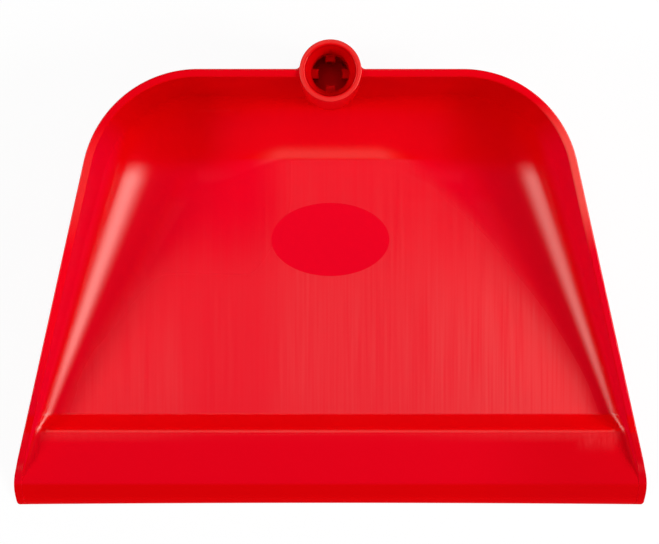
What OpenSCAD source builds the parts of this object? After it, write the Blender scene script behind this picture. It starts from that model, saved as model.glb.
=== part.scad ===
// Head of a lobby dustpan: a wide moulded scoop with a raking rim, a front lip that
// rises to a ridge, and an upright socket for a long handle behind it.
// The part stands on Z = 0 with its lip towards -Y and the socket at +Y.

/* [Scoop outline] */
// Length from the front edge to the outside of the rear rim
pan_len = 248.3; // [225:0.1:290]
// Width across the side rims at the front edge, before its corners are rounded
front_w = 377.6; // [340:0.1:420]
// Width across the side rims at the rear, before its corners are rounded
rear_w = 251; // [230:0.1:300]
// Plan radius of the rear corners, at the outside of the rim
rear_corner_r = 67; // [58:0.5:76]
// Plan radius of the front corners
front_corner_r = 33; // [28:0.5:45]
// Distance behind the front edge at which the front corners begin
front_corner_start = 19; // [14:0.5:24]
// Small plan radius where the corners meet the front edge
front_tip_r = 2.5; // [1:0.1:5]

/* [Walls and rim] */
// Thickness of the floor and the walls
wall_t = 3; // [2:0.1:3.5]
// Height of the rim at the rear
rim_rear_h = 110; // [95:0.5:125]
// Height of the rim's straight line where it would reach the front edge
rim_front_h = 5.7; // [4:0.1:9]
// Width of the rim, seen from above
rim_w = 4.4; // [3.8:0.1:6]
// Height of the outer face of the rim
rim_depth = 5; // [3:0.1:8]
// Rounding of the rim's two top edges
rim_edge_r = 1; // [0.3:0.1:1.4]
// Lean of the walls from upright, in degrees
wall_draft = 5; // [2:0.5:8]
// Plan radius that the fillets leave to the flat floor at its rear corners
floor_corner_r = 1.5; // [0.5:0.1:8]
// Width of the fillet between rear wall and floor, at the middle of the rear wall
rear_fillet_w = 38.5; // [28:0.5:45]
// Height of the fillets as a share of their width: 1 is round, less is flatter
fillet_flat = 0.7; // [0.6:0.05:1]
// Length of rear wall over which the corner fillet eases into the rear one
rear_ease_len = 48; // [30:1:52]

/* [Front lip and ridge] */
// Thickness of the front edge
edge_t = 1; // [0.6:0.1:2]
// Depth of the thin land behind the front edge
land_len = 3.8; // [2:0.1:6]
// Height of the lip at the back of the land
land_h = 1.6; // [1.2:0.1:2.6]
// Distance from the front edge to the top of the bevel
bevel_len = 11.8; // [9:0.1:16]
// Height of the lip at the top of the bevel
bevel_h = 5.4; // [4:0.1:7]
// Distance from the front edge to the ridge
ridge_dist = 43.4; // [38:0.1:55]
// Height of the ridge
ridge_h = 12; // [9:0.1:15]
// Length of the slope behind the ridge, down to the floor
ridge_back_len = 9; // [8:0.1:15]
// How far the softened corners of the lip reach along their faces
lip_softness = 2; // [1:0.1:3]
// Distance from the front edge at which the side rim starts to fall away
rim_drop_start = 28; // [24:0.5:34]
// Distance from the front edge at which the side rim has come down to the lip
rim_drop_end = 12; // [8:0.5:16]
// Height that the rim keeps above the lip at the front corners
rim_low_h = 0.4; // [0.3:0.1:1]

/* [Handle socket] */
// Outside radius of the socket
socket_r = 17.25; // [16:0.05:20]
// Height of the socket's mouth
socket_h = 112; // [100:0.5:130]
// How far the socket's axis stands in front of the outside of the rear rim
socket_inset = 1; // [0:0.1:4]
// Radius of the bore at its mouth
mouth_r = 14.4; // [13.5:0.1:15]
// Depth of the tapered mouth
mouth_depth = 18; // [10:0.5:25]
// Radius of the straight guide below the mouth
guide_r = 10.8; // [10:0.05:12.5]
// Length of the straight guide
guide_len = 14; // [8:0.5:20]
// Radius of the well below the guide
well_r = 10.4; // [9:0.05:12]
// Depth of the well
well_depth = 30; // [20:0.5:36]
// Thickness of the floor that closes the well
well_floor_t = 4; // [2:0.1:8]
// Radius of the hollow in the foot of the socket
foot_hollow_r = 13.6; // [10:0.1:14.5]
// Bevel on the edges of the mouth
mouth_bevel = 0.6; // [0.2:0.1:1.2]

/* [Handle lugs] */
// Number of lugs round the well
lug_count = 4; // [2:1:6]
// Width of a lug
lug_w = 5.6; // [3:0.1:7]
// Radius of the circle left free between the lugs
lug_free_r = 6.8; // [5:0.1:8.5]
// Height of a lug
lug_h = 14; // [8:0.5:18]

/* [Hidden] */

plastic_red = [0.86, 0.02, 0.06];
round_fn = 96;
fillet_steps = 9;
under_steps = 7;
corner_steps = 14;
ease_steps = 9;
side_steps = 6;
lip_steps = 24;
ridge_steps = 12;
soft_steps = 6;
bite = 1;

// Places along the pan, measured from the front edge, and the shift to the part's own frame
toe_dist = ridge_dist + ridge_back_len;
floor_dist = toe_dist + 2 * lip_softness;
socket_dist = pan_len - socket_inset;
front_y = -(socket_dist + socket_r) / 2;
socket_y = front_y + socket_dist;

// Plan of the rim: raking side lines, a large arc at each rear corner, a smaller one in front
rake = (front_w - rear_w) / 2 / pan_len;
rake_angle = atan(rake);
function side_line(v) = front_w / 2 - rake * v;
rear_arc_v = pan_len - rear_corner_r;
rear_arc_x = side_line(rear_arc_v) - rear_corner_r / cos(rake_angle);
side_end = rear_arc_v + rear_corner_r * sin(rake_angle);
front_arc_v = front_corner_start - front_corner_r * sin(rake_angle);
front_arc_x = side_line(front_corner_start) - front_corner_r * cos(rake_angle);
function arc_reach(r, off) = sqrt(r * r - off * off);
function tip_loss(v) = v < front_tip_r ? front_tip_r - arc_reach(front_tip_r, front_tip_r - v) : 0;
function half_w(v) = v < front_corner_start
    ? front_arc_x + arc_reach(front_corner_r, v - front_arc_v) - tip_loss(v)
    : side_line(v);

// Lip, ridge and floor in side view: straight runs with softened corners
function toward(p, q, s) = p + s * (q - p) / norm(q - p);
function soft_corner(a, p, c) = let (
    from = toward(p, a, lip_softness),
    to = toward(p, c, lip_softness))
    [for (i = [0 : soft_steps]) let (t = i / soft_steps)
        (1 - t) * (1 - t) * from + 2 * t * (1 - t) * p + t * t * to];
lip_edge = [0, edge_t];
lip_land = [land_len, land_h];
lip_bevel = [bevel_len, bevel_h];
lip_ridge = [ridge_dist, ridge_h];
lip_toe = [toe_dist, wall_t];
lip_floor = [pan_len, wall_t];
lip_line = concat(
    [lip_edge, lip_land],
    soft_corner(lip_land, lip_bevel, lip_ridge),
    soft_corner(lip_bevel, lip_ridge, lip_toe),
    soft_corner(lip_ridge, lip_toe, lip_floor),
    [lip_floor]);
function base_z(v) = lookup(v, lip_line);

// Rim height: one straight rake that falls away to the lip at the front corners
function ease(t) = let (u = min(1, max(0, t))) u * u * (3 - 2 * u);
function rim_line(v) = rim_front_h + (rim_rear_h - rim_front_h) * v / pan_len;
function rim_z(v) = let (low = base_z(v) + rim_low_h)
    low + (rim_line(v) - low) * ease((v - rim_drop_end) / (rim_drop_start - rim_drop_end));

// Fillets are parts of an ellipse that end where they reach the lean of the wall.
// fillet_run and fillet_rise are their width and height, as shares of the ellipse's half width.
lean = tan(wall_draft);
fillet_turn = atan(1 / (lean * fillet_flat));
fillet_run = sin(fillet_turn);
fillet_rise = fillet_flat * (1 - cos(fillet_turn));

// Fillet that brings the floor to distance d inside the outline of a wall of height h
function reach_fillet(d, h) = (d - rim_w - h * lean) / (fillet_run - fillet_rise * lean);

// Section of floor fillet, wall, rim and outer skin, from the floor up and back to the ground.
// edge is the outside of the rim in plan, out the outward direction there.
function inner_top(edge, out) = rim_z(edge[1] - rim_w * out[1]);
function section(edge, out, floor_z, fillet_w, skin_w) = let (
    top = inner_top(edge, out),
    outer_top = rim_z(edge[1]),
    soft = min(rim_edge_r, (top - floor_z) / 4),
    nick = soft * (1 - cos(45)),
    foot_z = floor_z + fillet_w * fillet_rise,
    floor_d = rim_w + (top - foot_z) * lean + fillet_w * fillet_run,
    rim_foot = outer_top - min(rim_depth, outer_top * 0.6),
    round_w = min(skin_w, rim_foot * 0.9 / fillet_rise),
    skin_d = rim_w - wall_t / cos(wall_draft),
    ground_d = skin_d + (top - round_w * fillet_rise) * lean + round_w * fillet_run,
    line = concat(
        [for (i = [0 : fillet_steps]) let (a = fillet_turn * i / fillet_steps)
            [floor_d - fillet_w * sin(a), floor_z + fillet_flat * fillet_w * (1 - cos(a))]],
        [
            [rim_w, top - soft],
            [rim_w - nick, top - nick],
            [rim_w - soft, rim_z(edge[1] - (rim_w - soft) * out[1])],
            [soft, rim_z(edge[1] - soft * out[1])],
            [nick, outer_top - nick],
            [0, outer_top - soft],
            [0, rim_foot],
            [skin_d + (top - rim_foot) * lean, rim_foot]
        ],
        [for (i = [under_steps : -1 : 0]) let (a = fillet_turn * i / under_steps)
            [ground_d - round_w * sin(a), fillet_flat * round_w * (1 - cos(a))]]))
    [for (p = line) [edge[0] - p[0] * out[0], front_y + edge[1] - p[0] * out[1], p[1]]];

// Section in a rear corner, where t runs from the side wall to the rear wall.
// side is -1 on the left and 1 on the right.
function corner_fillet(edge, out) =
    reach_fillet(rear_corner_r - floor_corner_r, inner_top(edge, out) - wall_t);
function corner_section(t, side) = let (
    a = rake_angle + (90 - rake_angle) * t,
    out = [side * cos(a), sin(a)],
    edge = [side * rear_arc_x, rear_arc_v] + rear_corner_r * out,
    fillet_w = corner_fillet(edge, out))
    section(edge, out, wall_t, fillet_w, fillet_w + wall_t);

// Section of the rear wall, where t runs from the corner to the end of its easing
function rear_section(t, side) = let (
    edge = [side * (rear_arc_x - rear_ease_len * t), pan_len],
    out = [0, 1],
    corner_w = corner_fillet(edge, out),
    fillet_w = corner_w + (rear_fillet_w - corner_w) * ease(t))
    section(edge, out, wall_t, fillet_w, fillet_w + wall_t);

// Section of a side at distance v from the front edge. The fillet keeps its share of the
// wall's height, so it narrows to the front with the wall.
side_end_out = [cos(rake_angle), sin(rake_angle)];
side_end_edge = [side_line(side_end), side_end];
side_share = corner_fillet(side_end_edge, side_end_out)
    / (inner_top(side_end_edge, side_end_out) - wall_t);
function side_section(v, side) = let (
    a = rake_angle * ease((v - floor_dist) / (side_end - floor_dist)),
    out = [side * cos(a), sin(a)],
    edge = [side * half_w(v), v],
    top = inner_top(edge, out))
    section(edge, out, base_z(v),
        side_share * (top - base_z(v)),
        side_share * max(0, top - wall_t) + wall_t);

// Distances of the side sections from the front edge
lip_places = [for (i = [0 : lip_steps]) ridge_dist * pow(i / lip_steps, 1.5)];
ridge_places = [for (i = [0 : ridge_steps])
    ridge_dist + (floor_dist - ridge_dist) * i / ridge_steps];
side_places = concat(
    ridge_places,
    [for (i = [1 : side_steps]) floor_dist + (side_end - floor_dist) * i / side_steps]);

function reversed(list) = [for (i = [len(list) - 1 : -1 : 0]) list[i]];

// Two triangles for each cell between neighbouring sections
function skin_faces(first, count, size) = [
    for (i = [first : first + count - 2])
        for (j = [0 : size - 2])
            let (a = i * size + j, b = a + size)
                each [[a, a + 1, b + 1], [a, b + 1, b]]];

// Bands of the underside between the first sections on the left and the last on the right
function ground_faces(bands, count, size) = [
    for (i = [0 : bands - 1])
        let (left = i * size + size - 1, right = (count - 1 - i) * size + size - 1)
            [right, right - size, left + size, left]];

// Flat end across the part: the section of one side, the web between, the section of the other
function end_faces(first, last, size) = let (a = first * size, b = last * size, top = size - 1) [
    [for (j = [top : -1 : 0]) a + j],
    [a + top, a, b, b + top],
    [for (j = [0 : top]) b + j]];

// Solid between full cross-sections: the lip and the low ends of the side walls
module lip_solid() {
    left = [for (v = lip_places) side_section(v, -1)];
    right = [for (v = reversed(lip_places)) side_section(v, 1)];
    rows = concat(left, right);
    size = len(rows[0]);
    count = len(rows);
    half = count / 2;
    top_faces = [for (i = [0 : half - 2])
        [i * size, (i + 1) * size, (count - 2 - i) * size, (count - 1 - i) * size]];
    polyhedron(
        points = [for (row = rows) each row],
        faces = concat(
            skin_faces(0, half, size),
            skin_faces(half, half, size),
            top_faces,
            ground_faces(half - 1, count, size),
            end_faces(0, count - 1, size),
            end_faces(half, half - 1, size)));
}

// Sections of one half, from the ridge along the side and round the corner to the rear wall
function half_rows(side) = concat(
    [for (v = side_places) side_section(v, side)],
    [for (i = [1 : corner_steps]) corner_section(i / corner_steps, side)],
    [for (i = [1 : ease_steps]) rear_section(i / ease_steps, side)]);

// Solid of the floor and the walls, from the ridge round the rear and back to the ridge
module pan_solid() {
    rows = concat(half_rows(-1), reversed(half_rows(1)));
    size = len(rows[0]);
    count = len(rows);
    ridge_faces = [for (i = [0 : ridge_steps - 1])
        [i * size, (i + 1) * size, (count - 2 - i) * size, (count - 1 - i) * size]];
    floor_face = [for (i = [ridge_steps : count - 1 - ridge_steps]) i * size];
    heel_face = [for (i = [count - 1 - ridge_steps : -1 : ridge_steps]) i * size + size - 1];
    polyhedron(
        points = [for (row = rows) each row],
        faces = concat(
            skin_faces(0, count, size),
            ridge_faces,
            ground_faces(ridge_steps, count, size),
            end_faces(0, count - 1, size),
            [floor_face, heel_face]));
}

// Hollow under the lip and the ridge, open to the ground, which keeps the moulding thin
module lip_hollow() {
    end_x = half_w(toe_dist) - side_share * rim_line(toe_dist) - 2 * wall_t;
    ridge_drop = 1.1 * wall_t;
    outline = [
        [bevel_len - wall_t, -bite],
        [bevel_len - wall_t, 0],
        [bevel_len + wall_t / 2, bevel_h - wall_t],
        [ridge_dist - wall_t / 3, ridge_h - ridge_drop],
        [toe_dist - wall_t / 3, 0],
        [toe_dist - wall_t / 3, -bite]
    ];
    translate([-end_x, front_y, 0])
        rotate([90, 0, 90])
            linear_extrude(2 * end_x)
                polygon(outline);
}

module pan() {
    color(plastic_red)
        difference() {
            pan_solid();
            lip_hollow();
            translate([0, socket_y, -bite])
                cylinder(h = socket_h + 2 * bite, r = socket_r, $fn = round_fn);
        }
}

module front_lip() {
    color(plastic_red)
        difference() {
            lip_solid();
            lip_hollow();
        }
}

// Upright tube with a tapered mouth, a straight guide and a closed well, hollow in its foot
guide_top = socket_h - mouth_depth;
well_top = guide_top - guide_len;
well_bottom = well_top - well_depth;
module handle_socket() {
    color(plastic_red)
        translate([0, socket_y, 0])
            rotate_extrude($fn = round_fn)
                polygon([
                    [foot_hollow_r, 0],
                    [socket_r, 0],
                    [socket_r, socket_h - mouth_bevel],
                    [socket_r - mouth_bevel, socket_h],
                    [mouth_r + mouth_bevel, socket_h],
                    [mouth_r, socket_h - mouth_bevel],
                    [guide_r, guide_top],
                    [guide_r, well_top],
                    [well_r, well_top],
                    [well_r, well_bottom],
                    [0, well_bottom],
                    [0, well_bottom - well_floor_t],
                    [foot_hollow_r, well_bottom - well_floor_t]
                ]);
}

// Keys round the well that a handle's tip turns behind
module handle_lugs() {
    color(plastic_red)
        translate([0, socket_y, well_top - lug_h])
            intersection() {
                difference() {
                    cylinder(h = lug_h, r = well_r, $fn = round_fn);
                    translate([0, 0, -bite])
                        cylinder(h = lug_h + 2 * bite, r = lug_free_r, $fn = round_fn);
                }
                for (i = [0 : lug_count - 1])
                    rotate(360 * i / lug_count)
                        translate([0, -lug_w / 2, 0])
                            cube([well_r, lug_w, lug_h]);
            }
}

pan();
front_lip();
handle_socket();
handle_lugs();
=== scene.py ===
"""Lobby dustpan head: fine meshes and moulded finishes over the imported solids.

The scoop is one skin through cross-sections that follow its rim. The socket is turned about
its axis, and beads of plastic fill the corners where the two meet. Sizes are millimetres, as
in the solids, and become metres when a mesh is made.
"""

import math

import bmesh
import bpy
import numpy as np
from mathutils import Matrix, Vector


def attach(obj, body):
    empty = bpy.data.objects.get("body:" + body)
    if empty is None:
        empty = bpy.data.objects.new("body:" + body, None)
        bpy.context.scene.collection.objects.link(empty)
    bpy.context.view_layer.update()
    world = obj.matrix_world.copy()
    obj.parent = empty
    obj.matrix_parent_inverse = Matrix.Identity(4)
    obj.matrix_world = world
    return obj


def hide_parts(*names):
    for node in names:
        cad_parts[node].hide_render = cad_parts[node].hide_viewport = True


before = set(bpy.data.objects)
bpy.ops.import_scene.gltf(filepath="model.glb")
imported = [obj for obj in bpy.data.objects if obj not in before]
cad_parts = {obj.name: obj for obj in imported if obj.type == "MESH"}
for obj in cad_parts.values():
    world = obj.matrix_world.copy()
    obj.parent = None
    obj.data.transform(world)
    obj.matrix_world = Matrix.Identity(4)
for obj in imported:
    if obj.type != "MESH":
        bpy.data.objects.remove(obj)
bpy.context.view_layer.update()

MM = 0.001

# Scoop outline
PAN_LEN = 248.3
FRONT_W = 377.6
REAR_W = 251.0
REAR_CORNER_R = 67.0
FRONT_CORNER_R = 33.0
FRONT_CORNER_START = 19.0
FRONT_TIP_R = 1.5

# Walls and rim
WALL_T = 3.0
RIM_REAR_H = 110.0
RIM_FRONT_H = 5.7
RIM_W = 4.4
RIM_DEPTH = 5.0
RIM_EDGE = 1.2
RIM_FOOT_EDGE = 0.7
DRAFT = math.radians(5.0)
FLOOR_CORNER_R = 1.5
REAR_FILLET_W = 38.5
FILLET_FLAT = 0.7
REAR_EASE_LEN = 48.0

# Front lip and ridge
EDGE_T = 1.0
EDGE_ROUND = 0.5
LAND_LEN = 3.8
LAND_H = 1.6
LAND_SOFT = 0.8
BEVEL_LEN = 11.8
BEVEL_H = 5.4
RIDGE_DIST = 43.4
RIDGE_H = 12.0
RIDGE_BACK_LEN = 9.0
RIDGE_ROOF_T = 3.3
CREST_SOFT = 3.4
TOE_SOFT = 0.8
LIP_SOFT = 2.0
RIM_DROP_START = 28.0
RIM_DROP_END = 12.0
RIM_LOW_H = 0.4
EDGE_BOW = 0.9
EDGE_CORNER_REACH = 0.5
EDGE_BOW_FADE = 16.0

# Handle socket and lugs
SOCKET_R = 17.25
SOCKET_H = 112.0
SOCKET_INSET = 1.0
MOUTH_R = 14.4
MOUTH_DEPTH = 18.0
GUIDE_R = 10.8
GUIDE_LEN = 14.0
WELL_R = 10.4
WELL_DEPTH = 30.0
WELL_FLOOR_T = 4.0
FOOT_HOLLOW_R = 13.6
LUG_COUNT = 4
LUG_W = 5.6
LUG_FREE_R = 6.8
LUG_H = 14.0

# Places along the pan, measured from the front edge
TOE_DIST = RIDGE_DIST + RIDGE_BACK_LEN
FLOOR_DIST = TOE_DIST + 2 * LIP_SOFT
SOCKET_DIST = PAN_LEN - SOCKET_INSET
FRONT_Y = -(SOCKET_DIST + SOCKET_R) / 2
SOCKET_Y = FRONT_Y + SOCKET_DIST

# Fillets are parts of an ellipse that end where they reach the lean of the wall. Run and rise
# are their width and height, as shares of the ellipse's half width.
LEAN = math.tan(DRAFT)
FILLET_TURN = math.atan(1 / (LEAN * FILLET_FLAT))
FILLET_RUN = math.sin(FILLET_TURN)
FILLET_RISE = FILLET_FLAT * (1 - math.cos(FILLET_TURN))


def ease(t):
    u = min(1.0, max(0.0, t))
    return u * u * (3 - 2 * u)


def unit(vector):
    return vector / np.linalg.norm(vector)


def soft_corner(before, corner, after, softness, steps):
    """Points and directions of a corner rounded off between its two straight runs."""
    before, corner, after = (np.array(p, float) for p in (before, corner, after))
    start = corner + softness * unit(before - corner)
    end = corner + softness * unit(after - corner)
    ts = np.linspace(0, 1, steps + 1)[:, None]
    points = (1 - ts) ** 2 * start + 2 * ts * (1 - ts) * corner + ts**2 * end
    ways = (1 - ts) * (corner - start) + ts * (end - corner)
    return points, ways / np.linalg.norm(ways, axis=1)[:, None]


# Plan of the rim: raking sides, a large arc at each rear corner, a smaller one in front
RAKE = (FRONT_W - REAR_W) / 2 / PAN_LEN
RAKE_ANGLE = math.atan(RAKE)


def side_line(v):
    return FRONT_W / 2 - RAKE * v


REAR_ARC_V = PAN_LEN - REAR_CORNER_R
REAR_ARC_X = side_line(REAR_ARC_V) - REAR_CORNER_R / math.cos(RAKE_ANGLE)
SIDE_END = REAR_ARC_V + REAR_CORNER_R * math.sin(RAKE_ANGLE)
FRONT_ARC_V = FRONT_CORNER_START - FRONT_CORNER_R * math.sin(RAKE_ANGLE)
FRONT_ARC_X = side_line(FRONT_CORNER_START) - FRONT_CORNER_R * math.cos(RAKE_ANGLE)


def half_w(v):
    if v >= FRONT_CORNER_START:
        return side_line(v)
    tip = 0.0
    if v < FRONT_TIP_R:
        tip = FRONT_TIP_R - math.sqrt(FRONT_TIP_R**2 - (FRONT_TIP_R - v) ** 2)
    return FRONT_ARC_X + math.sqrt(FRONT_CORNER_R**2 - (v - FRONT_ARC_V) ** 2) - tip


# Lip, ridge and floor in side view
EDGE_FOOT = (0.0, 0.0)
LIP_EDGE = (0.0, EDGE_T)
LIP_LAND = (LAND_LEN, LAND_H)
LIP_BEVEL = (BEVEL_LEN, BEVEL_H)
LIP_RIDGE = (RIDGE_DIST, RIDGE_H)
LIP_TOE = (TOE_DIST, WALL_T)
LIP_FLOOR = (PAN_LEN, WALL_T)
LIP_CORNER_STEPS = 12
LIP_LINE = np.concatenate(
    [
        soft_corner(EDGE_FOOT, LIP_EDGE, LIP_LAND, EDGE_ROUND, LIP_CORNER_STEPS)[0],
        soft_corner(LIP_EDGE, LIP_LAND, LIP_BEVEL, LAND_SOFT, LIP_CORNER_STEPS)[0],
        soft_corner(LIP_LAND, LIP_BEVEL, LIP_RIDGE, LIP_SOFT, LIP_CORNER_STEPS)[0],
        soft_corner(LIP_BEVEL, LIP_RIDGE, LIP_TOE, CREST_SOFT, LIP_CORNER_STEPS)[0],
        soft_corner(LIP_RIDGE, LIP_TOE, LIP_FLOOR, TOE_SOFT, LIP_CORNER_STEPS)[0],
        [LIP_FLOOR],
    ]
)


def base_z(v):
    return float(np.interp(v, LIP_LINE[:, 0], LIP_LINE[:, 1]))


RIM_SLOPE = (RIM_REAR_H - RIM_FRONT_H) / PAN_LEN


def rim_line(v):
    return RIM_FRONT_H + RIM_SLOPE * v


def rim_z(v):
    low = base_z(v) + RIM_LOW_H
    drop = ease((v - RIM_DROP_END) / (RIM_DROP_START - RIM_DROP_END))
    return low + (rim_line(v) - low) * drop


def inner_top(edge, out):
    return rim_z(edge[1] - RIM_W * out[1])


def reach_fillet(d, h):
    """Fillet that brings the floor to distance d inside the outline of a wall of height h."""
    return (d - RIM_W - h * LEAN) / (FILLET_RUN - FILLET_RISE * LEAN)


# Where the wall is low, in front, the rim and its edges shrink to these shares of the height
RIM_EDGE_SHARE = 0.25
RIM_DEPTH_SHARE = 0.6
FOOT_EDGE_SHARE = 0.25
SKIN_ROUND_SHARE = 0.9

# Samples along a section: floor fillet, wall, four rim corners, outer skin, outer curve
FILLET_STEPS = 26
WALL_PARTS = (0.3, 0.65)
RIM_STEPS = 6
UNDER_STEPS = 18
RIM_COUNT = 4 * (RIM_STEPS + 1)


def wall_path(u, foot_d, foot_z, width):
    """Point and direction up a wall: u turns along its fillet, and past that it is a length."""
    turn = min(u, FILLET_TURN)
    up = u - turn
    point = (
        foot_d - width * math.sin(turn) - up * math.sin(DRAFT),
        foot_z + FILLET_FLAT * width * (1 - math.cos(turn)) + up * math.cos(DRAFT),
    )
    return point, unit(np.array([-math.cos(turn), FILLET_FLAT * math.sin(turn)]))


def path_at_height(z, foot_z, width):
    return FILLET_TURN + (z - foot_z - width * FILLET_RISE) / math.cos(DRAFT)


def path_at_distance(d, foot_d, width):
    past_fillet = foot_d - width * FILLET_RUN - d
    if past_fillet >= 0:
        return FILLET_TURN + past_fillet / math.sin(DRAFT)
    return math.asin((foot_d - d) / width)


def wall_samples(end, steps):
    """Samples up a wall: evenly over its fillet, then over its straight run."""
    if end <= FILLET_TURN:
        return np.linspace(0, end, steps + 1 + len(WALL_PARTS))
    straight = [FILLET_TURN + part * (end - FILLET_TURN) for part in WALL_PARTS]
    return np.concatenate([np.linspace(0, FILLET_TURN, steps + 1), straight])


def section(edge, out, floor_z, fillet_w, skin_w, cut_d=None):
    """Cross-section from the floor over the rim to the ground, and its directions.

    edge is the outside of the rim in plan and out the outward direction there. Where cut_d
    is given, the section stops inside the socket's wall at that distance from edge.
    """
    top = inner_top(edge, out)
    outer_top = rim_z(edge[1])
    soft = min(RIM_EDGE, (top - floor_z) * RIM_EDGE_SHARE)
    foot_z = floor_z + fillet_w * FILLET_RISE
    floor_d = RIM_W + (top - foot_z) * LEAN + fillet_w * FILLET_RUN
    rim_foot = outer_top - min(RIM_DEPTH, outer_top * RIM_DEPTH_SHARE)
    foot_soft = min(RIM_FOOT_EDGE, rim_foot * FOOT_EDGE_SHARE)
    round_w = min(skin_w, rim_foot * SKIN_ROUND_SHARE / FILLET_RISE)
    skin_d = RIM_W - WALL_T / math.cos(DRAFT)
    ground_d = skin_d + (top - round_w * FILLET_RISE) * LEAN + round_w * FILLET_RUN
    inner_end = path_at_height(top - soft, floor_z, fillet_w)
    outer_end = path_at_height(rim_foot - foot_soft, 0.0, round_w)
    if cut_d is not None:
        inner_end = min(inner_end, path_at_distance(cut_d, floor_d, fillet_w))
        outer_end = min(outer_end, path_at_distance(cut_d, ground_d, round_w))
    inner = [
        wall_path(u, floor_d, floor_z, fillet_w) for u in wall_samples(inner_end, FILLET_STEPS)
    ]
    outer = [
        wall_path(u, ground_d, 0.0, round_w) for u in wall_samples(outer_end, UNDER_STEPS)
    ]
    outer = [(p, (-t[0], -t[1])) for p, t in reversed(outer)]
    if cut_d is None:
        skin_corner = (skin_d + (top - rim_foot) * LEAN, rim_foot)
        corners = [
            (RIM_W + top * LEAN, 0.0),
            (RIM_W, top),
            (0.0, outer_top),
            (0.0, rim_foot),
            skin_corner,
            (skin_corner[0] + rim_foot * LEAN, 0.0),
        ]
        rim = []
        for i, softness in enumerate((soft, soft, foot_soft, foot_soft), 1):
            points, ways = soft_corner(
                corners[i - 1], corners[i], corners[i + 1], softness, RIM_STEPS
            )
            rim += list(zip(points, ways))
    else:
        start = np.array(wall_path(inner_end, floor_d, floor_z, fillet_w)[0])
        end = np.array(wall_path(outer_end, ground_d, 0.0, round_w)[0])
        shares = np.linspace(0, 1, RIM_COUNT)
        rim = [(start + share * (end - start), (0.0, -1.0)) for share in shares]
    rows = inner + rim + outer
    edge, out = np.array(edge), np.array(out)
    points = [[*(edge - p[0] * out), p[1]] for p, _ in rows]
    ways = [[*(-t[0] * out), t[1]] for _, t in rows]
    points = np.array(points)
    points[:, 1] += FRONT_Y
    return points, np.array(ways)


def corner_fillet(edge, out):
    return reach_fillet(REAR_CORNER_R - FLOOR_CORNER_R, inner_top(edge, out) - WALL_T)


SIDE_END_OUT = (-math.cos(RAKE_ANGLE), math.sin(RAKE_ANGLE))
SIDE_END_EDGE = (-side_line(SIDE_END), SIDE_END)
SIDE_SHARE = corner_fillet(SIDE_END_EDGE, SIDE_END_OUT) / (
    inner_top(SIDE_END_EDGE, SIDE_END_OUT) - WALL_T
)


def side_section(v):
    a = RAKE_ANGLE * ease((v - FLOOR_DIST) / (SIDE_END - FLOOR_DIST))
    out = (-math.cos(a), math.sin(a))
    edge = (-half_w(v), v)
    top = inner_top(edge, out)
    return section(
        edge,
        out,
        base_z(v),
        SIDE_SHARE * (top - base_z(v)),
        SIDE_SHARE * max(0.0, top - WALL_T) + WALL_T,
    )


def corner_section(t):
    a = RAKE_ANGLE + (math.pi / 2 - RAKE_ANGLE) * t
    out = (-math.cos(a), math.sin(a))
    edge = (-REAR_ARC_X + REAR_CORNER_R * out[0], REAR_ARC_V + REAR_CORNER_R * out[1])
    width = corner_fillet(edge, out)
    return section(edge, out, WALL_T, width, width + WALL_T)


REAR_OUT = (0.0, 1.0)
MIDDLE_X = REAR_ARC_X - REAR_EASE_LEN


def rear_section(t):
    edge = (-(REAR_ARC_X - REAR_EASE_LEN * t), PAN_LEN)
    corner_w = corner_fillet(edge, REAR_OUT)
    width = corner_w + (REAR_FILLET_W - corner_w) * ease(t)
    return section(edge, REAR_OUT, WALL_T, width, width + WALL_T)


def middle_section(x, cut_d=None):
    width = REAR_FILLET_W
    return section((x, PAN_LEN), REAR_OUT, WALL_T, width, width + WALL_T, cut_d)


# Rows of the scoop's left half, from the front edge round to the middle of the rear wall
TIP_ROWS = 14
LIP_ROWS = 40
RIDGE_FRONT_ROWS = 8
RIDGE_BACK_ROWS = 10
SIDE_ROWS = 45
CORNER_ROWS = 45
REAR_ROWS = 31
MIDDLE_ROWS = 9
CUT_ROWS = 25
CUT_R = 16.0
CUT_CLEARANCE = 0.6
RIM_DROP_FOOT = RIM_DROP_START + 2
LEAST_STEP = 0.04
lip_places = np.concatenate(
    [
        FRONT_TIP_R * (1 - np.cos(np.linspace(0, math.pi / 2, TIP_ROWS))),
        LIP_LINE[LIP_LINE[:, 0] < RIDGE_DIST, 0],
        np.linspace(FRONT_TIP_R, RIM_DROP_FOOT, LIP_ROWS),
        np.linspace(RIM_DROP_FOOT, RIDGE_DIST, RIDGE_FRONT_ROWS),
    ]
)
ridge_places = np.concatenate(
    [
        LIP_LINE[(LIP_LINE[:, 0] > RIDGE_DIST) & (LIP_LINE[:, 0] < FLOOR_DIST), 0],
        np.linspace(RIDGE_DIST, FLOOR_DIST, RIDGE_BACK_ROWS),
    ]
)
front_places = [0.0]
for place in np.sort(np.concatenate([lip_places, ridge_places])):
    if place - front_places[-1] > LEAST_STEP:
        front_places.append(float(place))

left_rows = [side_section(v) for v in front_places]
left_rows += [side_section(v) for v in np.linspace(FLOOR_DIST, SIDE_END, SIDE_ROWS)[1:]]
left_rows += [corner_section(t) for t in np.linspace(0, 1, CORNER_ROWS)[1:]]
left_rows += [rear_section(t) for t in np.linspace(0, 1, REAR_ROWS)[1:]]
wide_count = len(left_rows)
middle_places = np.linspace(-MIDDLE_X, -CUT_R - CUT_CLEARANCE, MIDDLE_ROWS)
left_rows += [middle_section(x) for x in middle_places[1:]]
first_cut = math.acos((RIM_W - SOCKET_INSET) / CUT_R)
for angle in np.linspace(first_cut, 0, CUT_ROWS):
    left_rows.append(
        middle_section(-CUT_R * math.sin(angle), SOCKET_INSET + CUT_R * math.cos(angle))
    )

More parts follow.
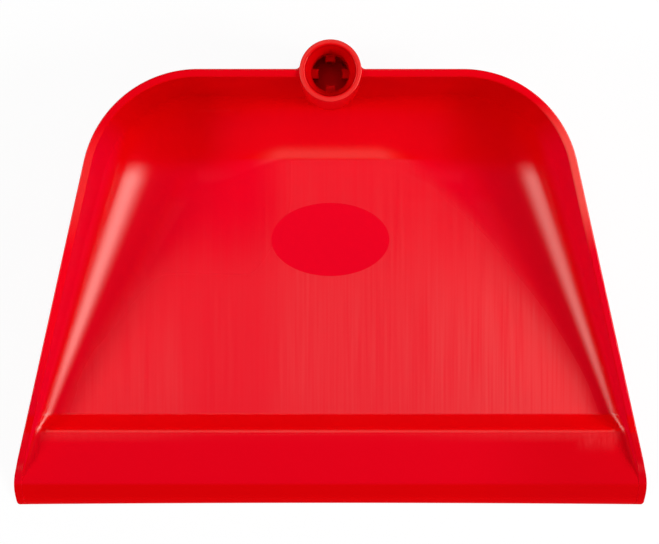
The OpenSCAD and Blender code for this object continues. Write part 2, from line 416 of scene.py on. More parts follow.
MIRROR = np.array([-1.0, 1.0, 1.0])
points = np.array([p for p, _ in left_rows])
ways = np.array([w for _, w in left_rows])
points = np.concatenate([points, points[-2::-1] * MIRROR])
ways = np.concatenate([ways, ways[-2::-1] * MIRROR])
row_count, section_count = points.shape[:2]


def bowed(at):
    """The front edge is set back a little at its middle and reaches out at its corners."""
    moved = np.array(at, float)
    v = moved[..., 1] - FRONT_Y
    fade = np.clip(1 - v / EDGE_BOW_FADE, 0, 1) ** 2
    across = np.clip(1 - (moved[..., 0] / (FRONT_W / 2)) ** 2, 0, 1)
    moved[..., 1] += (EDGE_BOW * across - EDGE_CORNER_REACH) * fade
    return moved


along = np.gradient(points, axis=0)
normals = np.cross(along, ways)
normals /= np.linalg.norm(normals, axis=2)[:, :, None]
points = bowed(points)


class Skin:
    """Gathers points, faces and the shading direction at each face corner."""

    def __init__(self):
        self.points, self.faces, self.normals = [], [], []

    def add_points(self, rows):
        first = len(self.points)
        self.points += [tuple(p) for p in np.asarray(rows, float).reshape(-1, 3)]
        return first

    def add_face(self, corners, normals=None):
        if normals is None:
            a, b, c = (np.array(self.points[i]) for i in (corners[0], corners[1], corners[-1]))
            normals = [unit(np.cross(b - a, c - a))] * len(corners)
        self.faces.append(tuple(corners))
        self.normals += [tuple(n) for n in normals]

    def make(self, name):
        mesh = bpy.data.meshes.new(name)
        mesh.from_pydata([tuple(c * MM for c in p) for p in self.points], [], self.faces)
        mesh.polygons.foreach_set("use_smooth", [True] * len(mesh.polygons))
        mesh.normals_split_custom_set(self.normals)
        piece = bpy.data.objects.new(name, mesh)
        bpy.context.scene.collection.objects.link(piece)
        return piece


def make_scoop():
    skin = Skin()
    skin.add_points(points)
    flat_normals = normals.reshape(-1, 3)

    def spot(i, j):
        return i * section_count + j

    for i in range(row_count - 1):
        for j in range(section_count - 1):
            corners = (spot(i, j), spot(i + 1, j), spot(i + 1, j + 1), spot(i, j + 1))
            skin.add_face(corners, [flat_normals[c] for c in corners])

    # Bands across the top of the lip, ridge and floor, and across the underside
    middle = range(wide_count - 1, row_count - wide_count + 1)
    shares = (points[list(middle), 0, 0] / MIDDLE_X).tolist()
    last_column = len(shares) - 1
    ground = section_count - 1
    hollow_line = np.array(
        [
            (BEVEL_LEN - WALL_T, 0.0),
            (BEVEL_LEN + WALL_T / 2, BEVEL_H - WALL_T),
            (RIDGE_DIST - WALL_T / 3, RIDGE_H - RIDGE_ROOF_T),
            (TOE_DIST - WALL_T / 3, 0.0),
        ]
    )
    hollow_end = half_w(TOE_DIST) - SIDE_SHARE * rim_line(TOE_DIST) - 2 * WALL_T
    top_rows, ground_rows = [], []
    for i in range(wide_count):
        other = row_count - 1 - i
        for rows, j in ((top_rows, 0), (ground_rows, ground)):
            if i == wide_count - 1:
                rows.append([spot(r, j) for r in middle])
                continue
            y = left_rows[i][0][j][1]
            v = y - FRONT_Y
            rise = np.interp(v, hollow_line[:, 0], hollow_line[:, 1]) if j else 0.0
            between = []
            for share in shares[1:-1]:
                x = -points[i, j, 0] * share
                z = points[i, j, 2]
                if rise > 0:
                    z += rise * ease((hollow_end - abs(x)) / WALL_T)
                between.append((x, y, z))
            first = skin.add_points(bowed(between))
            inside = list(range(first, first + last_column - 1))
            rows.append([spot(i, j), *inside, spot(other, j)])
    level = normals[:wide_count, 0] * np.array([0.0, 1.0, 1.0])
    level /= np.linalg.norm(level, axis=1)[:, None]
    for i in range(wide_count - 1):
        near, far = top_rows[i], top_rows[i + 1]
        for k in range(last_column):
            skin.add_face(
                (near[k], near[k + 1], far[k + 1], far[k]),
                (level[i], level[i], level[i + 1], level[i + 1]),
            )
        near, far = ground_rows[i], ground_rows[i + 1]
        for k in range(last_column):
            skin.add_face((near[k], far[k], far[k + 1], near[k + 1]))

    # Front face of the lip's edge
    for k in range(last_column):
        upper, lower = top_rows[0], ground_rows[0]
        skin.add_face((upper[k], lower[k], lower[k + 1], upper[k + 1]))
    forward = (0.0, -1.0, 0.0)
    left_end = [spot(0, j) for j in range(section_count)]
    right_end = [spot(row_count - 1, j) for j in reversed(range(section_count))]
    for end in (left_end, right_end):
        skin.add_face(end, [forward] * section_count)
    return skin.make("scoop")


AXIS_R = 1e-6


def turned(skin, path, ways, steps):
    """Turns a path of radius and height about the socket's axis."""
    angles = np.linspace(0, 2 * math.pi, steps, endpoint=False)
    rings, sides = [], []
    for (r, z), (dr, dz) in zip(path, ways):
        if r < AXIS_R:
            rings.append([skin.add_points([(0.0, SOCKET_Y, z)])] * steps)
        else:
            ring = [(r * math.cos(a), SOCKET_Y + r * math.sin(a), z) for a in angles]
            first = skin.add_points(ring)
            rings.append(list(range(first, first + steps)))
        sides.append([(dz * math.cos(a), dz * math.sin(a), -dr) for a in angles])
    for i in range(len(path) - 1):
        for k in range(steps):
            n = (k + 1) % steps
            corners, facing = [], []
            for ring, side, at in (
                (rings[i], sides[i], k),
                (rings[i], sides[i], n),
                (rings[i + 1], sides[i + 1], n),
                (rings[i + 1], sides[i + 1], k),
            ):
                if ring[at] not in corners:
                    corners.append(ring[at])
                    facing.append(side[at])
            skin.add_face(corners, facing)


def swept_bead(skin, loops, facings):
    """Closed bead through loops of points. Each loop's last point is hidden in the plastic."""
    size = len(loops[0])
    first = skin.add_points(loops)
    for i in range(len(loops) - 1):
        for j in range(size):
            n = (j + 1) % size
            corners = [
                first + i * size + j,
                first + i * size + n,
                first + (i + 1) * size + n,
                first + (i + 1) * size + j,
            ]
            shown = j < size - 2
            facing = [facings[i][j], facings[i][n], facings[i + 1][n], facings[i + 1][j]]
            skin.add_face(corners, facing if shown else None)
    skin.add_face([first + j for j in reversed(range(size))])
    skin.add_face([first + (len(loops) - 1) * size + j for j in range(size)])


# The rear beads reach round the socket by an angle each way, in radians
BEAD_STEPS = 8
BEAD_DEPTH = 1.75
BEAD_LEAST_GAP = 1e-4
BEAD_LINE_STEPS = 60
BEAD_ROWS = 153
BEAD_REACH = 1.9
RIM_BEAD_ROWS = 4


def bead_loop(centre, to_socket, to_wall, r):
    """Arc from the socket's side to the wall, and a point deep in the corner between them."""
    gap = math.acos(max(-1.0, min(1.0, float(np.dot(to_socket, to_wall)))))
    loop, facing = [], []
    for t in np.linspace(0, 1, BEAD_STEPS + 1):
        way = unit(
            math.sin((1 - t) * gap) * to_socket + math.sin(t * gap) * to_wall
            if gap > BEAD_LEAST_GAP
            else to_socket
        )
        loop.append(centre + r * way)
        facing.append(-way)
    deep = unit(to_socket + to_wall)
    loop.append(centre + BEAD_DEPTH * r * deep)
    facing.append(deep)
    return loop, facing


def rear_line(inside):
    """Rear wall in side view, from the foot of its fillet up, and the way to its open side."""
    top = inner_top((0.0, PAN_LEN), REAR_OUT)
    if inside:
        foot_z, face_d, width = WALL_T, RIM_W, REAR_FILLET_W
    else:
        foot_z, face_d, width = 0.0, RIM_W - WALL_T / math.cos(DRAFT), REAR_FILLET_W + WALL_T
    foot_d = face_d + (top - foot_z - width * FILLET_RISE) * LEAN + width * FILLET_RUN
    side = 1 if inside else -1
    line, open_ways = [], []
    for u in wall_samples(path_at_height(top, foot_z, width), BEAD_LINE_STEPS):
        (d, z), (way_d, way_z) = wall_path(u, foot_d, foot_z, width)
        line.append((PAN_LEN - d, z))
        open_ways.append((-side * way_z, -side * way_d))
    return np.array(line), np.array(open_ways)


def rear_bead(skin, r, inside, top_z):
    """Bead round the socket where it passes through the rear wall, in front or behind."""
    line, open_ways = rear_line(inside)
    centres = line + r * open_ways
    loops, facings = [], []
    for angle in np.linspace(-BEAD_REACH, BEAD_REACH, BEAD_ROWS):
        c_v = SOCKET_DIST - (SOCKET_R + r) * math.cos(angle)
        c_x = (SOCKET_R + r) * math.sin(angle)
        if c_v > centres[-1, 0]:
            continue
        c_z = np.interp(c_v, centres[:, 0], centres[:, 1])
        if c_z > top_z:
            continue
        way = [np.interp(c_v, centres[:, 0], open_ways[:, axis]) for axis in (0, 1)]
        to_wall = -unit(np.array([0.0, *way]))
        to_socket = np.array([-math.sin(angle), math.cos(angle), 0.0])
        centre = np.array([c_x, FRONT_Y + c_v, c_z])
        loop, facing = bead_loop(centre, to_socket, to_wall, r)
        loops.append(loop)
        facings.append(facing)
    if not inside:
        loops, facings = loops[::-1], facings[::-1]
    swept_bead(skin, loops, facings)


def rim_bead(skin, r, side, low_z, high_z):
    """Upright bead in the corner between the socket and the outside of the rim."""
    c_v = PAN_LEN + r
    c_x = side * math.sqrt((SOCKET_R + r) ** 2 - (c_v - SOCKET_DIST) ** 2)
    to_socket = unit(np.array([-c_x, SOCKET_DIST - c_v, 0.0]))
    to_wall = np.array([0.0, -1.0, 0.0])
    loops, facings = [], []
    for z in np.linspace(low_z, high_z, RIM_BEAD_ROWS):
        loop, facing = bead_loop(np.array([c_x, FRONT_Y + c_v, z]), to_socket, to_wall, r)
        loops.append(loop)
        facings.append(facing)
    if side > 0:
        loops, facings = loops[::-1], facings[::-1]
    swept_bead(skin, loops, facings)


GUIDE_TOP = SOCKET_H - MOUTH_DEPTH
WELL_TOP = GUIDE_TOP - GUIDE_LEN
WELL_BOTTOM = WELL_TOP - WELL_DEPTH
INNER_BEAD_R = 1.6
OUTER_BEAD_R = 2.2

# How far from the top or the foot of the rim each bead ends
INNER_BEAD_DROP = 0.9
OUTER_BEAD_DROP = 0.4
RIM_BEAD_DROP = 0.5
RIM_BEAD_LIFT = 0.3

SOCKET_STEPS = 128
SOCKET_CORNER_STEPS = 6
LONG_RUN = 4.0
LONG_RUN_PARTS = (0.2, 0.8)


def make_socket():
    # Radius, height and softness of each corner, from the well's floor out and round
    corners = [
        (0.0, WELL_BOTTOM, 0),
        (WELL_R, WELL_BOTTOM, 1.5),
        (WELL_R, WELL_TOP, 0.15),
        (GUIDE_R, WELL_TOP, 0.15),
        (GUIDE_R, GUIDE_TOP, 1.2),
        (MOUTH_R, SOCKET_H, 0.7),
        (SOCKET_R, SOCKET_H, 0.8),
        (SOCKET_R, 0.0, 0.8),
        (FOOT_HOLLOW_R, 0.0, 0.6),
        (FOOT_HOLLOW_R, WELL_BOTTOM - WELL_FLOOR_T, 1.5),
        (0.0, WELL_BOTTOM - WELL_FLOOR_T, 0),
    ]
    path, ways = [np.array(corners[0][:2])], [np.array([1.0, 0.0])]
    for before, corner, after in zip(corners, corners[1:], corners[2:]):
        bend, turns = soft_corner(
            before[:2], corner[:2], after[:2], corner[2], SOCKET_CORNER_STEPS
        )
        for part in LONG_RUN_PARTS:
            if np.linalg.norm(bend[0] - path[-1]) > LONG_RUN:
                path.append(path[-1] + part * (bend[0] - path[-1]))
                ways.append(turns[0])
        path += list(bend)
        ways += list(turns)
    path.append(np.array(corners[-1][:2]))
    ways.append(np.array([-1.0, 0.0]))
    skin = Skin()
    turned(skin, path[::-1], [-w for w in ways[::-1]], SOCKET_STEPS)
    rim_top = rim_line(PAN_LEN)
    rim_foot = rim_top - RIM_DEPTH
    rear_bead(skin, INNER_BEAD_R, True, rim_line(PAN_LEN - RIM_W) - INNER_BEAD_DROP)
    rear_bead(skin, OUTER_BEAD_R, False, rim_foot - OUTER_BEAD_DROP)
    for side in (-1, 1):
        rim_bead(skin, OUTER_BEAD_R, side, rim_foot + RIM_BEAD_LIFT, rim_top - RIM_BEAD_DROP)
    return skin.make("handle_socket_tube")


LUG_SINK = 0.6
LUG_ARC_POINTS = 9
LUG_EDGE = 0.5
LUG_EDGE_STEPS = 3
SHARP_ANGLE = 0.6


def make_lugs():
    """Four keys with softened edges, each sunk a little into the wall of the well."""
    form = bmesh.new()
    outer_r = WELL_R + LUG_SINK
    for i in range(LUG_COUNT):
        turn = 2 * math.pi * i / LUG_COUNT
        half = LUG_W / 2
        spread = math.asin(half / LUG_FREE_R)
        plan = [
            (LUG_FREE_R * math.cos(a), LUG_FREE_R * math.sin(a))
            for a in np.linspace(-spread, spread, LUG_ARC_POINTS)
        ]
        reach = math.asin(half / outer_r)
        plan += [
            (outer_r * math.cos(a), outer_r * math.sin(a))
            for a in np.linspace(reach, -reach, LUG_ARC_POINTS)
        ]
        rings = []
        for z in (WELL_TOP - LUG_H, WELL_TOP):
            ring = []
            for x, y in plan:
                turned_x = x * math.cos(turn) - y * math.sin(turn)
                turned_y = x * math.sin(turn) + y * math.cos(turn)
                ring.append(form.verts.new((turned_x * MM, (SOCKET_Y + turned_y) * MM, z * MM)))
            rings.append(ring)
        low, high = rings
        count = len(plan)
        form.faces.new(high[::-1])
        form.faces.new(low)
        for k in range(count):
            n = (k + 1) % count
            form.faces.new((low[k], high[k], high[n], low[n]))
    bmesh.ops.recalc_face_normals(form, faces=form.faces)
    sharp = [e for e in form.edges if e.calc_face_angle(0) > SHARP_ANGLE]
    bmesh.ops.bevel(
        form,
        geom=sharp,
        offset=LUG_EDGE * MM,
        segments=LUG_EDGE_STEPS,
        profile=0.5,
        affect="EDGES",
        clamp_overlap=True,
    )
    for face in form.faces:
        face.smooth = True
    mesh = bpy.data.meshes.new("handle_lugs_soft")
    form.to_mesh(mesh)
    form.free()
    piece = bpy.data.objects.new("handle_lugs_soft", mesh)
    bpy.context.scene.collection.objects.link(piece)
    return piece


class Socket:
    """A value in a finish. Sums with it add Math nodes to the same node tree."""

    def __init__(self, finish, socket):
        self.finish, self.socket = finish, socket

    def _math(self, operation, first, second):
        return self.finish.node("ShaderNodeMath", {"operation": operation}, {0: first, 1: second})

    def __add__(self, other):
        return self._math("ADD", self, other)

    def __radd__(self, other):
        return self._math("ADD", other, self)

    def __sub__(self, other):
        return self._math("SUBTRACT", self, other)

    def __rsub__(self, other):
        return self._math("SUBTRACT", other, self)

    def __mul__(self, other):
        return self._math("MULTIPLY", self, other)

    def __rmul__(self, other):
        return self._math("MULTIPLY", other, self)

    def __truediv__(self, other):
        return self._math("DIVIDE", self, other)

    def __rtruediv__(self, other):
        return self._math("DIVIDE", other, self)

    def __pow__(self, other):
        return self._math("POWER", self, other)

    def __rpow__(self, other):
        return self._math("POWER", other, self)

    def __abs__(self):
        return self._math("ABSOLUTE", self, 0.0)

    def larger(self, other):
        return self._math("MAXIMUM", self, other)

    def rising(self, low, high):
        """0 below low, 1 above high and smooth between."""
        return self.finish.node(
            "ShaderNodeMapRange",
            {"interpolation_type": "SMOOTHSTEP"},
            {"Value": self, "From Min": low, "From Max": high},
        )

    def falling(self, low, high):
        """1 below low, 0 above high and smooth between."""
        return 1 - self.rising(low, high)


class Finish:
    """Node tree of one material or of the world."""

    def __init__(self, tree):
        self.tree = tree
        tree.nodes.clear()

    def node(self, kind, settings=None, sockets=None, outputs=0):
        made = self.tree.nodes.new(kind)
        for key, value in (settings or {}).items():
            setattr(made, key, value)
        for key, value in (sockets or {}).items():
            if isinstance(value, Socket):
                self.tree.links.new(value.socket, made.inputs[key])
            else:
                made.inputs[key].default_value = value
        if not made.outputs:
            return None
        if isinstance(outputs, tuple):
            return [Socket(self, made.outputs[o]) for o in outputs]
        return Socket(self, made.outputs[outputs])

    def blend(self, share, first, second):
        """Mixes two colours."""
        return self.node(
            "ShaderNodeMix", {"data_type": "RGBA"}, {0: share, 6: first, 7: second}, 2
        )

    def noise(self, where, scale, detail):
        sockets = {"Vector": where, "Scale": scale, "Detail": detail}
        return self.node("ShaderNodeTexNoise", None, sockets)

    def stretched(self, where, factors):
        return self.node("ShaderNodeVectorMath", {"operation": "MULTIPLY"}, {0: where, 1: factors})


# Reds of the moulding's zones. Some are painted light and shade: lighter side walls and left rim,
# darker fillets, bevel, lip end and rear corners, a highlight on the rim and socket edge, and a
# sheen on the floor and lip. Scuffs on the lip and the floor's dulling are wear.
WALL_RED = (0.800, 0.0006, 0.0028, 1.0)
DEEP_RED = (0.775, 0.0005, 0.0022, 1.0)
SIDE_LIT_RED = (0.880, 0.0006, 0.0210, 1.0)
REAR_SHADE_RED = (0.700, 0.0004, 0.0006, 1.0)
FILLET_SHADE_RED = (0.765, 0.0006, 0.0125, 1.0)
FLOOR_RED = (0.810, 0.0008, 0.0160, 1.0)
LIP_RED = (0.760, 0.0005, 0.0090, 1.0)
LIP_END_SHADE_RED = (0.600, 0.0004, 0.0035, 1.0)
BEVEL_SHADE_RED = (0.700, 0.0004, 0.0020, 1.0)
LEFT_RIM_LIT_RED = (0.930, 0.0006, 0.0100, 1.0)
RIM_HIGHLIGHT_RED = (0.900, 0.0780, 0.0640, 1.0)
DULLED_SHEEN_RED = (0.805, 0.0440, 0.0500, 1.0)

# Bare polished oval in the floor
OVAL_V = 154.7
OVAL_HALF_W = 34.5
OVAL_HALF_D = 21.4

# The floor's grain ends in a line across the pan, a little before the rear fillet
GRAIN_END_V = 201.5
GRAIN_ALONG = (1.0, 0.02, 1.0)
BROAD_GRAIN_ALONG = (1.0, 0.04, 1.0)
GRAIN_HEIGHT = 0.6

# Half the width of the flat floor, which narrows in a curve towards the rear
FLAT_FRONT_HALF_W = 158.6
FLAT_RAKE = 0.029
FLAT_CURVE = 0.00274

# Walls face out or in as seen from this place on the floor
SCOOP_MIDDLE_V = 110.0

BASE_ROUGH = 0.26
PEEL_HEIGHT = 0.12
BUMP_DEPTH = 0.06
PLASTIC_IOR = 1.49
PLASTIC_GLOSS = 0.35
MATT_SHARE = 0.9

# Painted sheen near the socket's top edge, and the start of its bore, as radii
SHEEN_IN_R = 14.9
SHEEN_OUT_R = 15.7
BORE_EDGE_R = 13.7

# In the finishes below, x, v and tall are millimetres. Sideways, forward and upward are the
# parts of a direction of length 1, so that a level surface has 1 for upward.


def places(finish, where):
    """Millimetres to the right of the middle, behind the front edge and above the ground."""
    x, y, z = finish.node("ShaderNodeSeparateXYZ", None, {0: where}, (0, 1, 2))
    return x / MM, y / MM - FRONT_Y, z / MM


def floor_dulling_and_sheen(x, v):
    """How far use has dulled the floor and how strong its painted sheen is: most at the right
    front, least at the left rear.
    """
    rear = v.rising(120, 178)
    right = x.rising(30, 130) * v.falling(90, 180)
    left_front = x.falling(-105, -65) * v.falling(65, 130)
    wear = 0.24 * (1 - rear) + 0.24 * x.rising(-48, -15) + 0.45 * right + 0.20 * left_front
    flat_half_w = FLAT_FRONT_HALF_W - v * FLAT_RAKE - v * v * FLAT_CURVE
    left_edge = (flat_half_w + x).rising(-14, 8)
    right_soft = v.rising(65, 110) * 8 + 0.5
    right_edge = (flat_half_w - x + v.rising(130, 170) * 5).rising(-10.5, right_soft)
    return wear * left_edge * right_edge


class ScoopZones:
    """Places on the scoop, the way it faces there, and zones that go from 0 to 1."""

    def __init__(self, finish, where):
        x, v, tall = places(finish, where)
        facing = finish.node("ShaderNodeNewGeometry", outputs="Normal")
        sideways, forward, upward = finish.node(
            "ShaderNodeSeparateXYZ", None, {0: facing}, (0, 1, 2)
        )
        self.x, self.v = x, v
        self.sideways, self.forward, self.upward = sideways, forward, upward
        self.outward = (sideways * x + forward * (v - SCOOP_MIDDLE_V)).rising(-4, 4)
        self.above_rim = tall - RIM_FRONT_H - v * RIM_SLOPE
        self.rim = self.above_rim.rising(-1.8, -0.6)
        self.lip = v.falling(RIDGE_DIST - 2, RIDGE_DIST)
        self.ridge_back = v.rising(RIDGE_DIST, RIDGE_DIST + 1) * v.falling(TOE_DIST, TOE_DIST + 2)
        self.behind_ridge = v.rising(TOE_DIST - 1, TOE_DIST + 2)
        floor = v.rising(TOE_DIST, TOE_DIST + 1) * v.falling(GRAIN_END_V - 1, GRAIN_END_V + 1)
        self.floor = floor * tall.rising(2.2, 2.6) * tall.falling(3.6, 9.0)
        across = x / OVAL_HALF_W
        ahead = (v - OVAL_V) / OVAL_HALF_D
        oval = (across * across + ahead * ahead).falling(0.985, 1.015)
        flat = self.floor * upward.rising(0.985, 0.9995)
        self.polished = flat * oval
        self.grain = flat * (1 - oval)
        fine = finish.noise(finish.stretched(where, GRAIN_ALONG), 650.0, 1.0)
        broad = finish.noise(finish.stretched(where, BROAD_GRAIN_ALONG), 200.0, 3.0)
        self.line = fine - 0.5 + (broad - 0.5) * 0.35
        # Use has dulled the floor, which makes it rougher; its colour also carries a painted
        # sheen.
        self.dulled_and_sheen = self.floor * upward.rising(0.92, 0.96) * (1 - oval) * floor_dulling_and_sheen(x, v)


def lip_scuffs_and_highlight(zones):
    """Scuffs at the right end of the lip, a painted highlight in a band in front of the crest, and
    a paler front edge.
    """
    x, v, line = zones.x, zones.v, zones.line
    scuffed = zones.lip * v.rising(RIDGE_DIST - 15, RIDGE_DIST - 3)
    scuffed = scuffed * x.rising(140, 152) * x.falling(164, 170) * (0.30 + line * 0.8)
    # Painted highlight in a band along the front of the crest.
    band = v.rising(RIDGE_DIST - 8, RIDGE_DIST - 3) * v.falling(RIDGE_DIST - 1, RIDGE_DIST)
    band = band * zones.upward.rising(0.90, 0.96) * (1 + line * 1.2)
    crest_highlight = band * (0.03 + x.rising(20, 130) * 0.17 + x.falling(-130, -60) * 0.17)
    pale_edge = v.falling(0.4, 1.6) * 0.07
    return scuffed.larger(crest_highlight).larger(pale_edge)


def scoop_colour(finish, zones, colour):
    """The red of each zone of the scoop, with painted light, shade and sheen, and some wear."""
    x, v, upward, lip = zones.x, zones.v, zones.upward, zones.lip
    # Painted light: the side walls get a lighter red, as they are lit more than the rear wall.
    colour = finish.blend(abs(zones.sideways).rising(0.7, 0.95), colour, SIDE_LIT_RED)
    # Painted shade: a darker red along the floor fillets, less of it at the rear.
    fillet_shade = zones.behind_ridge * upward.rising(0.60, 0.85) * upward.falling(0.97, 0.99)
    fillet_shade = fillet_shade * (1 - v.rising(188, 204) * 0.6)
    colour = finish.blend(fillet_shade, colour, FILLET_SHADE_RED)
    lip_top = lip * upward.rising(0.5, 0.8)
    colour = finish.blend(lip_top, colour, LIP_RED)
    # Painted shade: the lip's bevel is a darker red.
    bevel = lip_top * v.falling(BEVEL_LEN - 1, BEVEL_LEN + 1)
    colour = finish.blend(bevel, colour, BEVEL_SHADE_RED)
    # Painted shade: the lip darkens towards its right end.
    lip_end_shade = lip * upward.rising(0.70, 0.85) * x.rising(70, 140)
    colour = finish.blend(lip_end_shade * 0.5, colour, LIP_END_SHADE_RED)
    colour = finish.blend(zones.floor * upward.rising(0.955, 0.9995), colour, FLOOR_RED)
    # Painted sheen on the floor in the pattern of its dulling, and paler grain lines.
    dulled_and_sheen = zones.dulled_and_sheen * (1 + zones.line * 1.6)
    dulled_and_sheen = dulled_and_sheen + zones.grain * zones.line.larger(0.0) * 0.10
    colour = finish.blend(dulled_and_sheen, colour, DULLED_SHEEN_RED)
    colour = finish.blend(lip_scuffs_and_highlight(zones), colour, DULLED_SHEEN_RED)
    # Painted light: the rim is lighter along the left side.
    left_rim_light = zones.rim * x.falling(-80, -50) * v.rising(50, 105) * v.falling(200, 225)
    colour = finish.blend(left_rim_light, colour, LEFT_RIM_LIT_RED)
    # Painted highlight on the rim towards the rear, stronger on the right side.
    leftward = x.falling(-50, 50)
    rim_highlight = zones.rim * v.rising(145, 178) * (v + leftward * 12).falling(205, 232)
    colour = finish.blend(rim_highlight * (0.88 - leftward * 0.60), colour, RIM_HIGHLIGHT_RED)
    # Painted shade: the lower rear wall is darker towards the rear corners.
    rear_shade = v.rising(192, 208) * abs(x).rising(56, 80) * abs(x).falling(98, 122)
    rear_shade = rear_shade * (1 - zones.outward) * (1 - zones.rim)
    return finish.blend(rear_shade * 0.6, colour, REAR_SHADE_RED)


def scoop_rough(zones, rough):
    """Fillets, oval and ridge are polished, and the floor is rougher where it is dulled."""
    v, upward = zones.v, zones.upward
    polish = upward.rising(0.45, 0.7) * 0.11 + upward.rising(0.98, 0.998) * 0.08
    polish = zones.behind_ridge * polish + zones.polished * 0.02
    crest = v.rising(RIDGE_DIST - 6, RIDGE_DIST - 4) * v.falling(RIDGE_DIST + 3, RIDGE_DIST + 5)
    ridge_end = zones.ridge_back * abs(zones.x).rising(135, 145)
    polish = polish + crest * 0.07 + ridge_end * 0.10
    return rough - polish + zones.dulled_and_sheen.rising(0.0, 0.4) * 0.40


def scoop_matt(zones):
    """Places with little gloss: steep walls, the rear wall, the rim's inside and the lip."""
    x, v, upward = zones.x, zones.v, zones.upward
    steep = upward.falling(0.56, 0.70) * (1 - zones.ridge_back * upward.rising(0.50, 0.62))
    rear_wall = zones.forward.falling(-0.60, -0.30) * upward.falling(0.75, 0.90)
    rear_corner = abs(x).rising(38, 50) * v.rising(174, 182) * upward.rising(0.93, 0.98)
    rim_inside = zones.above_rim.rising(-4.5, -2.5) * upward.falling(0.85, 0.98)
    beside_lip = v.falling(RIDGE_DIST - 1.5, RIDGE_DIST + 1.5) * upward.falling(0.93, 0.98)
    front_fade = v.falling(TOE_DIST + 5, 105) * v.rising(TOE_DIST, TOE_DIST + 2) * 0.4
    rear_fade = v.rising(188.5, 201.5) * abs(x).rising(60, 80) * 1.1
    inside = steep
    for zone in (rear_wall, rear_corner, rim_inside, beside_lip, front_fade, rear_fade):
        inside = inside.larger(zone)
    on_lip = v.falling(RIDGE_DIST - 2.0, RIDGE_DIST - 0.5) * upward.rising(0.5, 0.8) * 0.75
    return (inside * (1 - zones.outward)).larger(on_lip) * MATT_SHARE


def scoop_marks(finish, where, colour, rough, height):
    """Zones of the scoop: a floor with a fine lengthwise grain, smooth walls, lip and rim."""
    zones = ScoopZones(finish, where)
    colour = scoop_colour(finish, zones, colour)
    height = height * (1 - zones.grain) + zones.grain * zones.line * GRAIN_HEIGHT
    return colour, scoop_rough(zones, rough), height, scoop_matt(zones)


def socket_marks(finish, where, colour, rough, height):
    """The socket's upper edge carries a painted sheen, and its bore has little gloss."""
    x, v, tall = places(finish, where)
    ahead = v - SOCKET_DIST
    spread = x * x + ahead * ahead
    edge = tall.rising(SOCKET_H - 1.2, SOCKET_H - 0.4)
    edge = edge * spread.rising(SHEEN_IN_R**2, SHEEN_OUT_R**2)
    # Painted sheen on the socket's top edge.
    colour = finish.blend(edge * 0.32, colour, RIM_HIGHLIGHT_RED)
    bore = spread.falling(BORE_EDGE_R**2, MOUTH_R**2) * tall.falling(SOCKET_H - 6, SOCKET_H - 2)
    return colour, rough, height, bore * MATT_SHARE


def red_plastic(name, marks):
    """Moulded plastic, a little cloudy in its red, with a faint orange peel and its own marks."""
    material = bpy.data.materials.new(name)
    material.use_nodes = True
    finish = Finish(material.node_tree)
    where = finish.node("ShaderNodeTexCoord", outputs="Object")
    cloudy = finish.noise(where, 14.0, 3.0)
    peel = finish.noise(where, 420.0, 1.0)
    colour = finish.blend(cloudy.rising(0.3, 0.7), DEEP_RED, WALL_RED)
    rough = BASE_ROUGH + (cloudy - 0.5) * 0.04
    colour, rough, height, matt = marks(finish, where, colour, rough, peel * PEEL_HEIGHT)
    bump = finish.node(
        "ShaderNodeBump", None, {"Strength": 0.25, "Distance": BUMP_DEPTH * MM, "Height": height}
    )
    glossy = finish.node(
        "ShaderNodeBsdfPrincipled",
        None,
        {
            "Base Color": colour,
            "Roughness": rough,
            "Normal": bump,
            "IOR": PLASTIC_IOR,
            "Specular IOR Level": PLASTIC_GLOSS,
        },
    )
    plain = finish.node("ShaderNodeBsdfDiffuse", None, {"Color": colour, "Normal": bump})
    surface = finish.node("ShaderNodeMixShader", None, {0: matt, 1: glossy, 2: plain})
    finish.node("ShaderNodeOutputMaterial", None, {"Surface": surface})
    return material


def dress(piece, material, *nodes):
    piece.data.materials.append(material)
    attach(piece, "root")
    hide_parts(*nodes)


scoop_finish = red_plastic("red_plastic_scoop", scoop_marks)
socket_finish = red_plastic("red_plastic_socket", socket_marks)
dress(make_scoop(), scoop_finish, "pan", "front_lip")
dress(make_socket(), socket_finish, "handle_socket")
dress(make_lugs(), socket_finish, "handle_lugs")


PLAIN_WHITE = (1.0, 1.0, 1.0, 1.0)
FLOOR_GREY = (0.45, 0.45, 0.45, 1.0)
WARM_LIGHT = (1.0, 1.0, 0.88, 1.0)
FLOOR_HALF = 30.0
FLOOR_Z = -0.0004
FLOOR_GLOW_SHARE = 0.93


def make_floor():
    """Pale floor: white to the eye, with the object's own soft shadow on it."""
    mesh = bpy.data.meshes.new("studio_floor")
    signs = ((-1, -1), (1, -1), (1, 1), (-1, 1))
    corners = [(a * FLOOR_HALF, b * FLOOR_HALF, FLOOR_Z) for a, b in signs]
    mesh.from_pydata(corners, [], [(0, 1, 2, 3)])
    floor = bpy.data.objects.new("studio_floor", mesh)
    bpy.context.scene.collection.objects.link(floor)
    material = bpy.data.materials.new("studio_floor_white")
    material.use_nodes = True
    finish = Finish(material.node_tree)
    rays = ("Is Camera Ray", "Is Glossy Ray", "Is Transmission Ray")
    direct, glossy, passing = finish.node("ShaderNodeLightPath", outputs=rays)
    seen = direct.larger(glossy).larger(passing)
    shade = finish.blend(seen, FLOOR_GREY, PLAIN_WHITE)
    paint = finish.node("ShaderNodeBsdfDiffuse", None, {"Color": shade})
    glow = finish.node("ShaderNodeEmission", None, {"Color": PLAIN_WHITE, "Strength": 1.0})
    share = seen * FLOOR_GLOW_SHARE
    mixed = finish.node("ShaderNodeMixShader", None, {0: share, 1: paint, 2: glow})
    finish.node("ShaderNodeOutputMaterial", None, {"Surface": mixed})
    mesh.materials.append(material)


# Brightness of the studio's parts, as they show in the gloss
RIGHT_STRIP_LIGHT = 9.8
LEFT_STRIP_LIGHT = 6.0
CEILING_LIGHT = 1.3
WALL_LIGHT = 0.02
LEAST_DIVISOR = 0.0001


